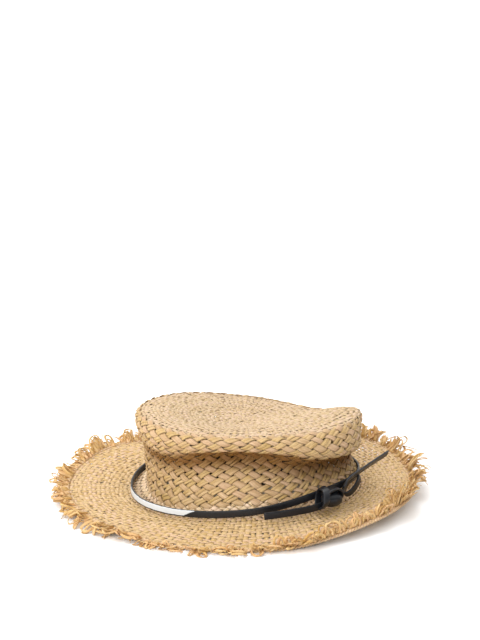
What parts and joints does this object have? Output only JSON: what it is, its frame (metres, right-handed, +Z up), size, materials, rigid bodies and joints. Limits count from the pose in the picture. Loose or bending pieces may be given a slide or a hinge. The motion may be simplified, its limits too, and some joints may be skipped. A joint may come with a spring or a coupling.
{
  "type": "straw sun hat",
  "caption": "Woven straw sun hat with a slouched crown, a flat brim with a frayed fringe edge, and a leather lace band tied in a half bow.",
  "frame": {"origin": "middle of the footprint, on the surface that the brim lies on", "axes": "+Z up through the crown, +X along the long way of the head, with the lace's knot on the -Y side towards +X"},
  "size_m": [0.336, 0.288, 0.081],
  "materials": {
    "straw": "coarse diagonal weave of flat straw, dry and matt with a faint sheen on single strips",
    "fine_straw": "fine plain weave of natural straw, matt",
    "frayed_straw": "loose frayed ends of golden straw",
    "sweatband_ribbon": "ribbed grosgrain ribbon, matt",
    "label_cloth": "blank satin-woven label",
    "lace_leather": "smooth black leather lace, satin, with one stretch painted white"
  },
  "bodies": {
    "hat": {"head_row": "fine_straw", "crown_wall": "straw", "crown_tip": "fine_straw", "brim": "fine_straw", "edge_braid": "straw", "fringe_right": "frayed_straw", "fringe_back_right": "frayed_straw", "fringe_back": "frayed_straw", "fringe_back_left": "frayed_straw", "fringe_left": "frayed_straw", "fringe_front_left": "frayed_straw", "fringe_front": "frayed_straw", "fringe_front_right": "frayed_straw", "sweatband": "sweatband_ribbon", "size_label": "label_cloth", "hat_band": "lace_leather", "band_knot": "lace_leather", "bow_loop": "lace_leather"},
    "tail_left": {"tail_left": "lace_leather"},
    "tail_right": {"tail_right": "lace_leather"}
  },
  "joints": [
    {"name": "tail_left_swing", "type": "hinge", "parent": "hat", "child": "tail_left", "pos_m": [0.065, -0.0785, 0.019], "axis": [0, 0, 1], "range_deg": [0, 35], "stiffness_Nm_per_rad": 0.01},
    {"name": "tail_right_swing", "type": "hinge", "parent": "hat", "child": "tail_right", "pos_m": [0.0885, -0.066, 0.0365], "axis": [0, 0, -1], "range_deg": [0, 60], "stiffness_Nm_per_rad": 0.01}
  ]
}
